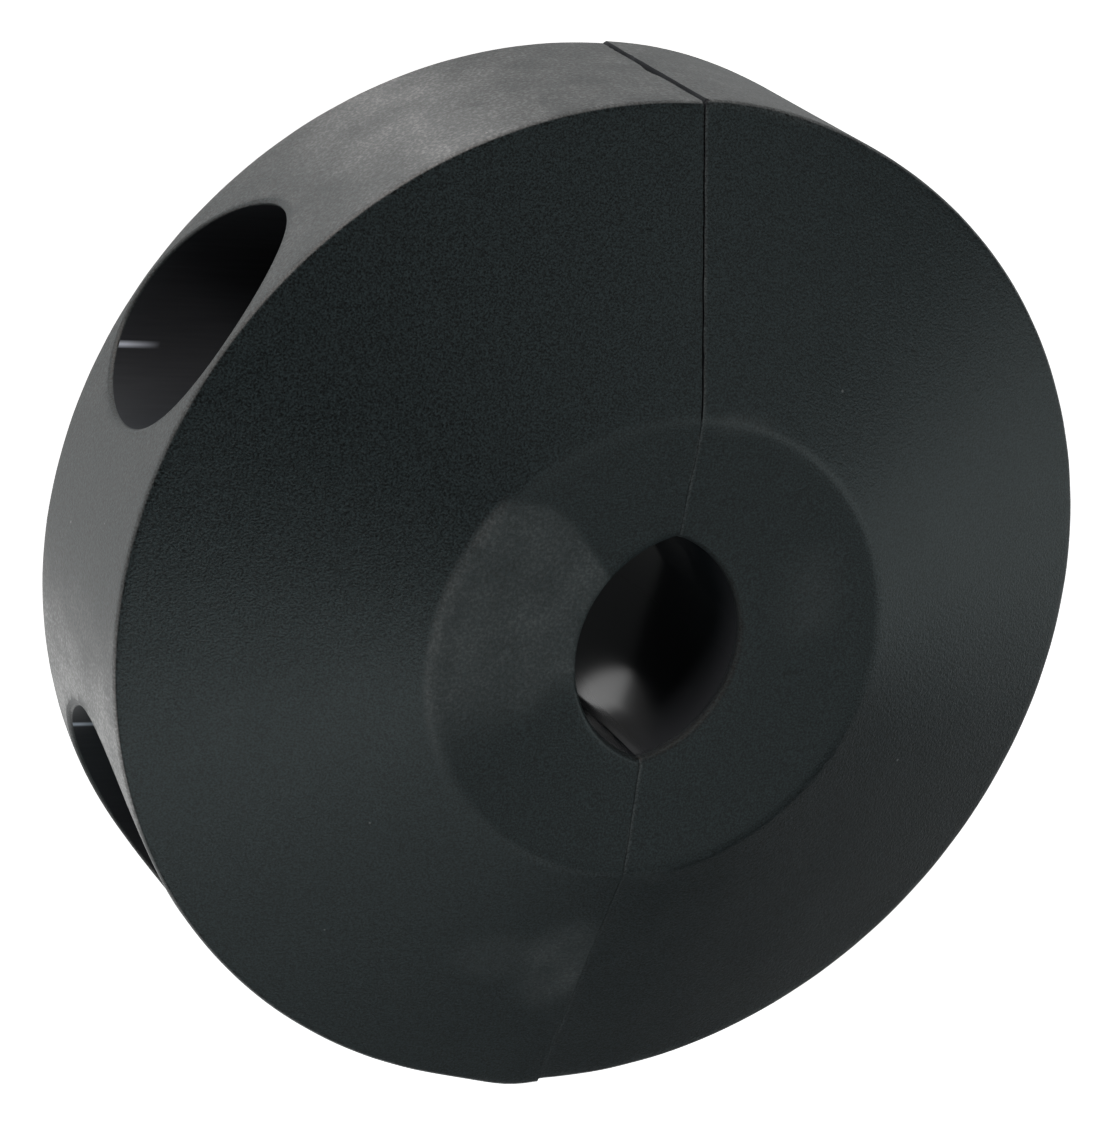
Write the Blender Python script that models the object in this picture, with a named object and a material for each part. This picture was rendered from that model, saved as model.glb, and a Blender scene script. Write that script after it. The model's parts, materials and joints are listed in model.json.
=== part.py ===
"""Two-piece split clamp collar: two moulded half discs drawn together by two through screws.

Lengths are in metres. The bore runs along Z, the split plane is X = 0, and the screws run along X.
The origin is the middle of the bore, halfway through the collar's thickness.
"""

import math

import bmesh
import bpy
from mathutils import Matrix

# Moulded halves
OUTER_RADIUS = 0.04445
RIM_WIDTH = 0.0200
HUB_RADIUS = 0.0203
HUB_RISE = 0.0089
SPLIT_GAP = 0.0003
RIM_EDGE_RADIUS = 0.0005
HUB_EDGE_RADIUS = 0.0030

# Bore: each half holds less than half of a circle, so the halves close up on what they grip
BORE_RADIUS = 0.0104
BORE_CLOSING = 0.00295

# Screw holes
SCREW_OFFSET = 0.0220
COUNTERBORE_RADIUS = 0.0092
HOLE_RADIUS = 0.00437
WEB = 0.0150

# 5/16-18 fasteners
THREAD_RADIUS = 0.00397
SCREW_LENGTH = 0.0508
HEAD_ACROSS_FLATS = 0.0127
HEAD_HEIGHT = 0.0054
WASHER_FACE_RADIUS = 0.0060
WASHER_FACE_HEIGHT = 0.0004
WASHER_RADIUS = 0.00875
WASHER_BORE_RADIUS = 0.00437
WASHER_THICKNESS = 0.0016
NUT_ACROSS_FLATS = 0.0127
NUT_HEX_HEIGHT = 0.0062
NUT_HEIGHT = 0.0087
NUT_BORE_RADIUS = 0.00427
NUT_COLLAR_RADIUS = 0.0058
INSERT_SEAT_RADIUS = 0.0053
INSERT_SEAT_DEPTH = 0.0028
INSERT_RADIUS = 0.0050
INSERT_THICKNESS = 0.0019
LIP_RADIUS = 0.0047
LIP_THICKNESS = 0.0003
CHAMFER = 0.0006

REST_GAP = 0.0003
HALF_THICKNESS = RIM_WIDTH / 2 + HUB_RISE
HEAD_SEAT = -(WEB + WASHER_THICKNESS + 2 * REST_GAP)
NUT_SEAT = WEB + WASHER_THICKNESS + 2 * REST_GAP

RIM_STEPS = 96
HOLE_STEPS = 48
FASTENER_STEPS = 36
MERGE_DISTANCE = 0.00002
SHARP_ANGLE = math.radians(30)

# Turns local Z onto world X, so a turned fastener lies along the screw axis
ALONG_X = Matrix.Rotation(math.pi / 2, 4, "Y")


def clear_scene():
    for obj in list(bpy.data.objects):
        bpy.data.objects.remove(obj, do_unlink=True)


def material(name, colour, roughness, metallic):
    made = bpy.data.materials.new(name)
    made.use_nodes = True
    shader = made.node_tree.nodes["Principled BSDF"]
    shader.inputs["Base Color"].default_value = (*colour, 1)
    shader.inputs["Roughness"].default_value = roughness
    shader.inputs["Metallic"].default_value = metallic
    return made


def empty(name, parent=None):
    made = bpy.data.objects.new(name, None)
    bpy.context.collection.objects.link(made)
    made.parent = parent
    return made


def mesh_object(name, mesh, parent, matrix=None):
    made = bpy.data.objects.new(name, mesh)
    bpy.context.collection.objects.link(made)
    made.parent = parent
    if matrix:
        made.matrix_local = matrix
    return made


def outline_mesh(name, outline, closed):
    """A chain of (radius, height) points in the XZ plane, ready for a Screw modifier."""
    mesh = bpy.data.meshes.new(name)
    ends = [(i, i + 1) for i in range(len(outline) - 1)]
    if closed:
        ends.append((len(outline) - 1, 0))
    mesh.from_pydata([(radius, 0, height) for radius, height in outline], ends, [])
    return mesh


def turned(name, outline, steps, parent, matrix=None, closed=False):
    """A solid of revolution about local Z. The outline runs down its outer side."""
    made = mesh_object(name, outline_mesh(name, outline, closed), parent, matrix)
    screw = made.modifiers.new("turn", "SCREW")
    screw.axis = "Z"
    screw.angle = 2 * math.pi
    screw.steps = steps
    screw.render_steps = steps
    screw.use_merge_vertices = True
    screw.merge_threshold = MERGE_DISTANCE
    screw.use_smooth_shade = True
    return made


def rounded(before, corner, after, radius, steps):
    """Points of an arc of this radius that rounds the corner of an outline."""
    ins = [b - c for b, c in zip(before, corner)]
    outs = [a - c for a, c in zip(after, corner)]
    ins = [v / math.hypot(*ins) for v in ins]
    outs = [v / math.hypot(*outs) for v in outs]
    half_angle = math.acos(ins[0] * outs[0] + ins[1] * outs[1]) / 2
    reach = radius / math.tan(half_angle)
    middle = [i + o for i, o in zip(ins, outs)]
    middle = [v / math.hypot(*middle) for v in middle]
    centre = [c + m * radius / math.sin(half_angle) for c, m in zip(corner, middle)]
    start = [c + i * reach - o for c, i, o in zip(corner, ins, centre)]
    end = [c + i * reach - o for c, i, o in zip(corner, outs, centre)]
    first = math.atan2(start[1], start[0])
    sweep = math.remainder(math.atan2(end[1], end[0]) - first, 2 * math.pi)
    angles = [first + sweep * i / steps for i in range(steps + 1)]
    return [(centre[0] + radius * math.cos(a), centre[1] + radius * math.sin(a)) for a in angles]


def disc_outline():
    """The disc from its axis outwards and back: flat hub, cone, rim, cone and flat hub again."""
    top = (0, HALF_THICKNESS)
    hub = (HUB_RADIUS, HALF_THICKNESS)
    rim = (OUTER_RADIUS, RIM_WIDTH / 2)
    rim_below = (OUTER_RADIUS, -RIM_WIDTH / 2)
    upper = [top]
    upper += rounded(top, hub, rim, HUB_EDGE_RADIUS, 3)
    upper += rounded(hub, rim, rim_below, RIM_EDGE_RADIUS, 3)
    lower = [(radius, -height) for radius, height in reversed(upper)]
    return upper + lower


def prism(name, sides, radius, start, end, parent, matrix=None):
    """A closed prism or cylinder along local Z, used as a cutting tool."""
    mesh = bpy.data.meshes.new(name)
    shape = bmesh.new()
    bmesh.ops.create_cone(
        shape,
        cap_ends=True,
        segments=sides,
        radius1=radius,
        radius2=radius,
        depth=end - start,
        matrix=Matrix.Translation((0, 0, (start + end) / 2)),
    )
    shape.to_mesh(mesh)
    shape.free()
    return as_tool(mesh_object(name, mesh, parent, matrix))


def block(name, low, high, parent):
    mesh = bpy.data.meshes.new(name)
    shape = bmesh.new()
    size = [h - l for l, h in zip(low, high)]
    middle = [(h + l) / 2 for l, h in zip(low, high)]
    scale = Matrix.Diagonal((*size, 1))
    bmesh.ops.create_cube(shape, size=1, matrix=Matrix.Translation(middle) @ scale)
    shape.to_mesh(mesh)
    shape.free()
    return as_tool(mesh_object(name, mesh, parent))


def as_tool(obj):
    obj.hide_render = True
    obj.display_type = "WIRE"
    return obj


def boolean(obj, tool, operation="DIFFERENCE"):
    made = obj.modifiers.new(tool.name, "BOOLEAN")
    made.operation = operation
    made.solver = "EXACT"
    made.object = tool


def settle_mesh(obj):
    """Turns the modifiers' result into the object's mesh, smooth but for its steep edges."""
    graph = bpy.context.evaluated_depsgraph_get()
    mesh = bpy.data.meshes.new_from_object(obj.evaluated_get(graph))
    mesh.name = obj.name
    mesh.shade_smooth()
    mesh.set_sharp_from_angle(angle=SHARP_ANGLE)
    obj.modifiers.clear()
    obj.data = mesh


def finish_piece(obj, look):
    bpy.context.view_layer.update()
    settle_mesh(obj)
    obj.data.materials.clear()
    obj.data.materials.append(look)
    return obj


def moulded_half(name, parent, facing, look):
    """One half disc. Both halves come from one mould; the second is turned half round the bore."""
    half = turned(name, disc_outline(), RIM_STEPS, parent, Matrix.Rotation(facing, 4, "Z"))
    far = 2 * OUTER_RADIUS
    boolean(half, block(f"{name}_split_tool", (-SPLIT_GAP / 2, -far, -far), (far, far, far), half))
    beyond_split = Matrix.Translation((BORE_CLOSING, 0, 0))
    boolean(half, prism(f"{name}_bore_tool", HOLE_STEPS, BORE_RADIUS, -far, far, half, beyond_split))
    for side in (-1, 1):
        axis = Matrix.Translation((0, side * SCREW_OFFSET, 0)) @ ALONG_X
        tool = f"{name}_tool_{side}"
        boolean(half, prism(f"{tool}_wide", HOLE_STEPS, COUNTERBORE_RADIUS, -far, -WEB, half, axis))
        boolean(half, prism(f"{tool}_narrow", FASTENER_STEPS, HOLE_RADIUS, -2 * WEB, WEB, half, axis))
    return finish_piece(half, look)


def clamp_screw(name, parent, look):
    """Hex cap screw: local Z = 0 is under the head, and the shank runs towards +Z."""
    corner_radius = HEAD_ACROSS_FLATS / 2 / math.cos(math.pi / 6)
    outline = [
        (0, SCREW_LENGTH),
        (THREAD_RADIUS - CHAMFER, SCREW_LENGTH),
        (THREAD_RADIUS, SCREW_LENGTH - CHAMFER),
        (THREAD_RADIUS, 0),
        (WASHER_FACE_RADIUS, 0),
        (WASHER_FACE_RADIUS, -WASHER_FACE_HEIGHT),
        (corner_radius, -WASHER_FACE_HEIGHT),
        (corner_radius, CHAMFER - HEAD_HEIGHT),
        (HEAD_ACROSS_FLATS / 2, -HEAD_HEIGHT),
        (0, -HEAD_HEIGHT),
    ]
    place = Matrix.Translation((HEAD_SEAT, 0, 0)) @ ALONG_X
    screw = turned(name, outline, FASTENER_STEPS, parent, place)
    flats = prism(f"{name}_flats_tool", 6, corner_radius, -SCREW_LENGTH, 2 * SCREW_LENGTH, screw)
    boolean(screw, flats, "INTERSECT")
    return finish_piece(screw, look)


def flat_washer(name, parent, seat, look):
    outline = [
        (WASHER_BORE_RADIUS, WASHER_THICKNESS / 2),
        (WASHER_RADIUS - CHAMFER / 2, WASHER_THICKNESS / 2),
        (WASHER_RADIUS, WASHER_THICKNESS / 2 - CHAMFER / 2),
        (WASHER_RADIUS, -WASHER_THICKNESS / 2),
        (WASHER_BORE_RADIUS, -WASHER_THICKNESS / 2),
    ]
    place = Matrix.Translation((seat, 0, 0)) @ ALONG_X
    washer = turned(name, outline, FASTENER_STEPS, parent, place, closed=True)
    return finish_piece(washer, look)


def lock_nut(name, parent, look):
    """Hex nut with a round collar that holds a nylon ring: local Z = 0 is its bearing face."""
    corner_radius = NUT_ACROSS_FLATS / 2 / math.cos(math.pi / 6)
    seat_floor = NUT_HEIGHT - INSERT_SEAT_DEPTH
    outline = [
        (LIP_RADIUS, NUT_HEIGHT),
        (NUT_COLLAR_RADIUS - CHAMFER, NUT_HEIGHT),
        (NUT_COLLAR_RADIUS, NUT_HEIGHT - CHAMFER),
        (NUT_COLLAR_RADIUS, NUT_HEX_HEIGHT),
        (corner_radius, NUT_HEX_HEIGHT - CHAMFER),
        (corner_radius, CHAMFER / 2),
        (WASHER_FACE_RADIUS, 0),
        (NUT_BORE_RADIUS + CHAMFER, 0),
        (NUT_BORE_RADIUS, CHAMFER),
        (NUT_BORE_RADIUS, seat_floor),
        (INSERT_SEAT_RADIUS, seat_floor),
        (INSERT_SEAT_RADIUS, NUT_HEIGHT - LIP_THICKNESS),
        (LIP_RADIUS, NUT_HEIGHT - LIP_THICKNESS),
    ]
    place = Matrix.Translation((NUT_SEAT, 0, 0)) @ ALONG_X
    nut = turned(name, outline, FASTENER_STEPS, parent, place, closed=True)
    flats = prism(f"{name}_flats_tool", 6, corner_radius, -NUT_HEIGHT, 2 * NUT_HEIGHT, nut)
    boolean(nut, flats, "INTERSECT")
    return finish_piece(nut, look)


def nut_insert(name, parent, look):
    """Nylon ring seated in the nut's collar: it grips the thread and keeps the nut from working loose."""
    low = NUT_HEIGHT - INSERT_SEAT_DEPTH + REST_GAP
    outline = [
        (NUT_BORE_RADIUS, low + INSERT_THICKNESS),
        (INSERT_RADIUS, low + INSERT_THICKNESS),
        (INSERT_RADIUS, low),
        (NUT_BORE_RADIUS, low),
    ]
    place = Matrix.Translation((NUT_SEAT, 0, 0)) @ ALONG_X
    ring = turned(name, outline, FASTENER_STEPS, parent, place, closed=True)
    return finish_piece(ring, look)


def build():
    clear_scene()
    rubber = material("hard_black_rubber", (0.021, 0.024, 0.025), 0.45, 0.0)
    zinc = material("zinc_plated_steel", (0.60, 0.60, 0.58), 0.32, 1.0)
    nylon = material("natural_nylon", (0.62, 0.60, 0.52), 0.45, 0.0)

    fixed_side = empty("fixed_side")
    opening_side = empty("opening_side")
    moulded_half("right_half", fixed_side, math.pi, rubber)
    moulded_half("left_half", opening_side, 0.0, rubber)

    washer_seat = WEB + REST_GAP + WASHER_THICKNESS / 2
    for place, side in (("upper", 1), ("lower", -1)):
        screw_axis = empty(f"{place}_screw_axis", opening_side)
        screw_axis.location.y = side * SCREW_OFFSET
        nut_axis = empty(f"{place}_nut_axis", fixed_side)
        nut_axis.location.y = side * SCREW_OFFSET
        clamp_screw(f"{place}_clamp_screw", screw_axis, zinc)
        flat_washer(f"{place}_head_washer", screw_axis, -washer_seat, zinc)
        flat_washer(f"{place}_nut_washer", nut_axis, washer_seat, zinc)
        lock_nut(f"{place}_lock_nut", nut_axis, zinc)
        nut_insert(f"{place}_nut_insert", nut_axis, nylon)


build()
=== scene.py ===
"""Looks for a two-piece split clamp collar, laid out as an add-on and run as a script.

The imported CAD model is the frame. Each piece is built in the row frame, in metres, at rest.
"""

import json
import math
from types import SimpleNamespace

import bmesh
import bpy
import numpy as np
from bpy.props import FloatProperty, FloatVectorProperty, IntProperty, PointerProperty
from mathutils import Matrix, Vector, noise


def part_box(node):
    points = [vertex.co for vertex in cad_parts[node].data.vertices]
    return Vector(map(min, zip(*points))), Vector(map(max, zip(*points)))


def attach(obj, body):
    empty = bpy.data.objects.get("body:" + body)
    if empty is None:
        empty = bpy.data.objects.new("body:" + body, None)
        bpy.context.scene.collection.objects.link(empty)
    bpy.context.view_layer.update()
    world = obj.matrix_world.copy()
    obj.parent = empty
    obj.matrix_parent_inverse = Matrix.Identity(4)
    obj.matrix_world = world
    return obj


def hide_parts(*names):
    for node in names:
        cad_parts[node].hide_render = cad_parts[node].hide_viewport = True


bl_info = {
    "name": "Split clamp collar",
    "version": (1, 0, 0),
    "blender": (4, 5, 0),
    "location": "3D View > Sidebar > Collar",
    "description": "Builds the finished surfaces of a two-piece split clamp collar",
    "category": "Add Mesh",
}

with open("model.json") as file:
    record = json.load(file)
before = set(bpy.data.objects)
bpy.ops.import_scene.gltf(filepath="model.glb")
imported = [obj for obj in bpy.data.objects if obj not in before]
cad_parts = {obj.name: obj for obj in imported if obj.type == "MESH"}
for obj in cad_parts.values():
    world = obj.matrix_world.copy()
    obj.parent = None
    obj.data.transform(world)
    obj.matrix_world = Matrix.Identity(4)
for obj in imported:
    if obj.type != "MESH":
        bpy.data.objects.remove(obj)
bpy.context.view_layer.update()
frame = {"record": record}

MM = 0.001
PLACES = ("upper", "lower")


def box_size(node):
    low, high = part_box(node)
    return high - low


def box_middle(node):
    low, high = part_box(node)
    return (low + high) / 2


def mount(name):
    return next(m for m in frame["record"]["mounts"] if m["name"] == name)


# Sizes that the CAD frame fixes
OUTER_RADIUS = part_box("left_half")[1].y
HALF_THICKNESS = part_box("left_half")[1].z
SPLIT_HALF_GAP = -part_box("left_half")[1].x
BORE_RADIUS = mount("clamp_bore")["dims"]["r_mm"] * MM
SCREW_OFFSET = box_middle("upper_clamp_screw").y


# ---------------------------------------------------------------- settings


def length(name, description, default):
    return FloatProperty(
        name=name, description=description, default=default, unit="LENGTH", precision=5, min=0
    )


def colour(name, description, hex_value):
    return FloatVectorProperty(
        name=name, description=description, default=linear(hex_value), subtype="COLOR", size=3
    )


def linear(hex_value):
    """An sRGB hex colour such as #1a1d1e as linear red, green and blue."""
    parts = [int(hex_value[i : i + 2], 16) / 255 for i in (1, 3, 5)]
    return [p / 12.92 if p <= 0.04045 else ((p + 0.055) / 1.055) ** 2.4 for p in parts]


class HalfSettings(bpy.types.PropertyGroup):
    rim_width: length("Rim width", "Straight band between the two cones", 20 * MM)
    hub_radius: length("Hub radius", "Outer edge of the flat round the bore", 20.3 * MM)
    hub_edge: length("Hub edge", "Radius that blends the hub into the cone", 3.0 * MM)
    hub_dish: length("Hub dish", "How far the hub sinks towards the bore", 0.5 * MM)
    rim_edge: length("Rim edge", "Radius of the edge between cone and rim", 0.5 * MM)
    bore_edge: length("Bore edge", "Radius of the bore's mouth", 0.45 * MM)
    bore_closing: length("Bore closing", "From the split to the centre of a bore arc", 2.95 * MM)
    counterbore_radius: length("Counterbore radius", "Wide part of a screw hole", 9.2 * MM)
    counterbore_draft: length("Counterbore draft", "How much it narrows to its floor", 0.15 * MM)
    mouth_edge: length("Mouth edge", "Radius of the counterbore's mouth", 0.35 * MM)
    web: length("Web", "From the split to the counterbore's floor", 15 * MM)
    hole_radius: length("Screw hole radius", "Narrow part of a screw hole", 4.37 * MM)
    waviness: length("Waviness", "Height of the moulding's slow unevenness", 0.05 * MM)
    edge_trim: length("Edge trim", "Unevenness of the rim's edge where flash was trimmed", 0.02 * MM)
    lip: length("Mould lip", "Height of the flash left along the split", 0.05 * MM)
    raggedness: length("Raggedness", "Deepest nick along the split", 0.45 * MM)
    chip: length("Chip", "Depth of the chip in the rim beside the split", 0.40 * MM)
    rim_gap: length("Rim gap", "Half the gap between the edges across the top of the rim", 0.13 * MM)
    cone_gap: length("Cone gap", "Half the gap between the edges up the cone's top half", 0.06 * MM)
    wander: length("Wander", "How far the split line strays from straight on the top half", 0.12 * MM)
    tight_gap: length("Tight gap", "Half the gap where the edges nearly meet", 0.006 * MM)
    rubber: colour("Rubber", "Main colour of the moulded rubber", "#181f21")
    # paler colour of bloom, scuffs and worn edges, also used for the painted highlights on the rim and the
    # front
    bloom_and_highlight: colour("Bloom", "Paler colour of bloom, scuffs and worn edges", "#8c8e8f")
    # colour of the painted glint: a pale streak in each screw hole that stands for a highlight on its wall
    painted_glint: colour("Flash", "Colour of the rubbed flash line in a screw hole", "#bcc6d4")
    cored: colour("Cored", "Colour of the dry skin in the holes and on the split face", "#2f3236")


class FastenerSettings(bpy.types.PropertyGroup):
    pitch: length("Thread pitch", "5/16 in screw, 18 threads to the inch", 25.4 * MM / 18)
    major_radius: length("Major radius", "Crest of the screw's thread", 3.95 * MM)
    thread_depth: length("Thread depth", "From crest to root", 0.84 * MM)
    thread_length: length("Thread length", "Threaded end of the screw", 22.2 * MM)
    screw_length: length("Screw length", "From under the head to the end", 50.8 * MM)
    across_flats: length("Across flats", "Width of the hexagons", 12.7 * MM)
    nut_bore_clearance: length("Nut clearance", "Play between screw and nut threads", 0.07 * MM)
    washer_bore: length("Washer bore", "Radius of the hole in a flat washer", 4.37 * MM)
    sides: IntProperty(name="Sides", description="Columns round a turned piece", default=72, min=24)
    zinc: colour("Zinc", "Bright zinc plate", "#c3c6c8")
    nylon: colour("Nylon", "Natural nylon ring", "#d8d2bd")


class StageSettings(bpy.types.PropertyGroup):
    floor: colour("Floor", "Colour of the opal sheet under the collar", "#f2f2f2")
    floor_haze: colour("Floor haze", "Colour of the sheet's slightly greyer patches", "#ececec")
    lens: FloatProperty(name="Lens", description="The camera's focal length", default=120.3, unit="CAMERA")


class CollarSettings(bpy.types.PropertyGroup):
    half: PointerProperty(type=HalfSettings)
    fastener: PointerProperty(type=FastenerSettings)
    stage: PointerProperty(type=StageSettings)


# ---------------------------------------------------------------- materials


def node(tree, kind, inputs=None, **settings):
    """Adds a shader node. An input's value is a number, a colour or another node's output."""
    made = tree.nodes.new(kind)
    for key, value in settings.items():
        setattr(made, key, value)
    for key, value in (inputs or {}).items():
        if isinstance(value, bpy.types.NodeSocket):
            tree.links.new(value, made.inputs[key])
        else:
            made.inputs[key].default_value = value
    return made


def new_material(name):
    """An empty material with its node tree and a Principled shader wired to its output."""
    made = bpy.data.materials.new(name)
    made.use_nodes = True
    tree = made.node_tree
    tree.nodes.clear()
    shader = node(tree, "ShaderNodeBsdfPrincipled")
    node(tree, "ShaderNodeOutputMaterial", {"Surface": shader.outputs[0]})
    return made, tree, shader


def rgba(value):
    return (*value, 1)


# How much darker the pits of the moulded grain are than the rubber, and how much lighter its peaks
GRAIN_DARK, GRAIN_LIGHT = 0.12, 2.3


def pale_share(tree, place, skin, pits, flow):
    """How much of the rubber's colour is hidden under bloom and painted highlights, worn grain and dust,
    from 0 to 1.
    """
    # haze holds the bloom and the painted highlights
    haze = node(tree, "ShaderNodeAttribute", attribute_name="haze").outputs["Fac"]
    wear = node(tree, "ShaderNodeAttribute", attribute_name="wear").outputs["Fac"]
    # crystals of bloom, which stand out as pale specks where the bloom is thick
    crystals = node(
        tree,
        "ShaderNodeMapRange",
        {"Value": pits, "From Min": 0.45, "From Max": 0.70, "To Min": 0.80, "To Max": 1.9},
    ).outputs["Result"]
    mottle = node(
        tree,
        "ShaderNodeMapRange",
        {"Value": flow, "From Min": 0.3, "From Max": 0.7, "To Min": 0.45, "To Max": 1.15},
    ).outputs["Result"]
    # a few specks of dust, about 0.2 mm across and some 9 mm apart
    dust = node(tree, "ShaderNodeTexVoronoi", {"Vector": place, "Scale": 1 / (9 * MM)})
    apart = dust.outputs["Distance"]
    specks = node(
        tree,
        "ShaderNodeMapRange",
        {"Value": apart, "From Min": 0.010, "From Max": 0.016, "To Min": 0.5, "To Max": 0},
    ).outputs["Result"]
    speckle = node(
        tree,
        "ShaderNodeMapRange",
        {"Value": skin, "From Min": 0.35, "From Max": 0.65, "To Min": 0.4, "To Max": 1.6},
    ).outputs["Result"]
    bloom_and_highlight_share = node(tree, "ShaderNodeMath", {0: haze, 1: mottle}, operation="MULTIPLY").outputs[0]
    bloom_and_highlight_share = node(tree, "ShaderNodeMath", {0: bloom_and_highlight_share, 1: crystals}, operation="MULTIPLY").outputs[0]
    worn = node(
        tree, "ShaderNodeMath", {0: wear, 1: speckle, 2: specks}, operation="MULTIPLY_ADD"
    ).outputs[0]
    return node(
        tree, "ShaderNodeMath", {0: bloom_and_highlight_share, 1: worn}, operation="ADD", use_clamp=True
    ).outputs[0]


def hard_black_rubber(half):
    """Hard moulded rubber: near black with a cool cast, a satin skin, pale bloom and wear, and painted
    highlights.
    """
    made, tree, shader = new_material("hard_black_rubber")
    place = node(tree, "ShaderNodeTexCoord").outputs["Object"]
    polish = node(tree, "ShaderNodeAttribute", attribute_name="polish").outputs["Fac"]
    dull = node(tree, "ShaderNodeAttribute", attribute_name="dull").outputs["Fac"]
    # the mould's spark-eroded skin is about 0.1 mm from peak to peak, drawn at 0.17 mm to show
    skin = node(
        tree, "ShaderNodeTexNoise", {"Vector": place, "Scale": 1 / (0.17 * MM), "Detail": 2.0}
    ).outputs["Fac"]
    pits = node(
        tree, "ShaderNodeTexNoise", {"Vector": place, "Scale": 1 / (0.28 * MM), "Detail": 3.0}
    ).outputs["Fac"]
    # dull and shiny patches some millimetres across, from the flow in the mould
    flow = node(
        tree, "ShaderNodeTexNoise", {"Vector": place, "Scale": 1 / (4 * MM), "Detail": 6.0}
    ).outputs["Fac"]
    pale = pale_share(tree, place, skin, pits, flow)
    dark = [c * GRAIN_DARK for c in half.rubber]
    light = [c * GRAIN_LIGHT for c in half.rubber]
    peaks = node(
        tree, "ShaderNodeMapRange", {"Value": skin, "From Min": 0.36, "From Max": 0.66}
    ).outputs["Result"]
    grain = node(
        tree,
        "ShaderNodeMix",
        {"Factor": peaks, "A": rgba(dark), "B": rgba(light)},
        data_type="RGBA",
    )
    # bloom, wear, dust and painted highlights turn the grain pale
    base = node(
        tree,
        "ShaderNodeMix",
        {"Factor": pale, "A": grain.outputs["Result"], "B": rgba(half.bloom_and_highlight)},
        data_type="RGBA",
    )
    base = node(
        tree,
        "ShaderNodeMix",
        {"Factor": polish, "A": base.outputs["Result"], "B": rgba(half.cored)},
        data_type="RGBA",
    )
    satin = node(
        tree,
        "ShaderNodeMapRange",
        {"Value": flow, "From Min": 0.3, "From Max": 0.7, "To Min": 0.31, "To Max": 0.345},
    ).outputs["Result"]
    # where the skin is marked dull it is up to 0.4 rougher, and the bore is rubbed smooth
    dusted = node(
        tree, "ShaderNodeMath", {0: dull, 1: 0.4, 2: satin}, operation="MULTIPLY_ADD"
    ).outputs[0]
    rough = node(
        tree, "ShaderNodeMix", {"Factor": polish, "A": dusted, "B": 0.12}, data_type="FLOAT"
    ).outputs["Result"]
    relief = node(tree, "ShaderNodeMath", {0: skin, 1: pits}, operation="ADD").outputs[0]
    matt = node(tree, "ShaderNodeMath", {0: 1.0, 1: polish}, operation="SUBTRACT").outputs[0]
    bumps = node(
        tree, "ShaderNodeBump", {"Height": relief, "Strength": matt, "Distance": 0.024 * MM}
    )
    tree.links.new(base.outputs["Result"], shader.inputs["Base Color"])
    tree.links.new(rough, shader.inputs["Roughness"])
    tree.links.new(bumps.outputs["Normal"], shader.inputs["Normal"])
    return made


# The painted glint in a screw hole, a pale streak that stands for a highlight on its wall: its turn in
# degrees from the side away from the collar's axis, half its width, how far in from the rim it ends, and
# how far in it starts to fade
GLINT_TURN = -122.5
GLINT_HALF_WIDTH = 0.36 * MM
GLINT_REACH = 3.6 * MM
GLINT_FULL = 0.9 * MM


def painted_glint_line(tree, place, half):
    """1 on the painted glint that runs into each screw hole from its mouth, and 0 off it."""
    parts = node(tree, "ShaderNodeSeparateXYZ", {0: place}).outputs
    beside = node(tree, "ShaderNodeMath", {0: parts["Y"]}, operation="ABSOLUTE").outputs[0]
    section = node(tree, "ShaderNodeCombineXYZ", {"Y": beside, "Z": parts["Z"]}).outputs[0]
    turn = math.radians(GLINT_TURN)
    line = (
        0,
        SCREW_OFFSET + half.counterbore_radius * math.cos(turn),
        half.counterbore_radius * math.sin(turn),
    )
    apart = node(
        tree, "ShaderNodeVectorMath", {0: section, 1: line}, operation="DISTANCE"
    ).outputs["Value"]
    width = node(
        tree,
        "ShaderNodeMapRange",
        {
            "Value": apart,
            "From Min": 0.04 * MM,
            "From Max": GLINT_HALF_WIDTH,
            "To Min": 1,
            "To Max": 0,
        },
    ).outputs["Result"]
    level = node(tree, "ShaderNodeCombineXYZ", {"X": parts["X"], "Y": parts["Y"]}).outputs[0]
    radius = node(tree, "ShaderNodeVectorMath", {0: level}, operation="LENGTH").outputs["Value"]
    reach = node(
        tree,
        "ShaderNodeMapRange",
        {
            "Value": radius,
            "From Min": OUTER_RADIUS - GLINT_REACH,
            "From Max": OUTER_RADIUS - GLINT_FULL,
        },
    ).outputs["Result"]
    return node(tree, "ShaderNodeMath", {0: width, 1: reach}, operation="MULTIPLY").outputs[0]


def cored_black_rubber(half):
    """The same rubber inside the screw holes and on the split face: drier and much less shiny."""
    made, tree, shader = new_material("cored_black_rubber")
    place = node(tree, "ShaderNodeTexCoord").outputs["Object"]
    # drag lines left by the core pin, about 0.3 mm apart and 6 mm long
    drawn = node(tree, "ShaderNodeMapping", {"Vector": place, "Scale": (0.05, 1, 1)}).outputs[0]
    drag = node(
        tree, "ShaderNodeTexNoise", {"Vector": drawn, "Scale": 1 / (0.3 * MM), "Detail": 3.0}
    ).outputs["Fac"]
    dark = [c * 0.6 for c in half.cored]
    base = node(
        tree,
        "ShaderNodeMix",
        {"Factor": drag, "A": rgba(half.cored), "B": rgba(dark)},
        data_type="RGBA",
    )
    # each screw hole gets a painted glint: a pale streak that stands for a highlight on its wall
    base = node(
        tree,
        "ShaderNodeMix",
        {
            "Factor": painted_glint_line(tree, place, half),
            "A": base.outputs["Result"],
            "B": rgba(half.painted_glint),
        },
        data_type="RGBA",
    )
    lines = node(
        tree, "ShaderNodeBump", {"Height": drag, "Strength": 0.5, "Distance": 0.01 * MM}
    )
    shader.inputs["Roughness"].default_value = 0.5
    shader.inputs["Specular IOR Level"].default_value = 0.12
    tree.links.new(base.outputs["Result"], shader.inputs["Base Color"])
    tree.links.new(lines.outputs["Normal"], shader.inputs["Normal"])
    return made


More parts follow.
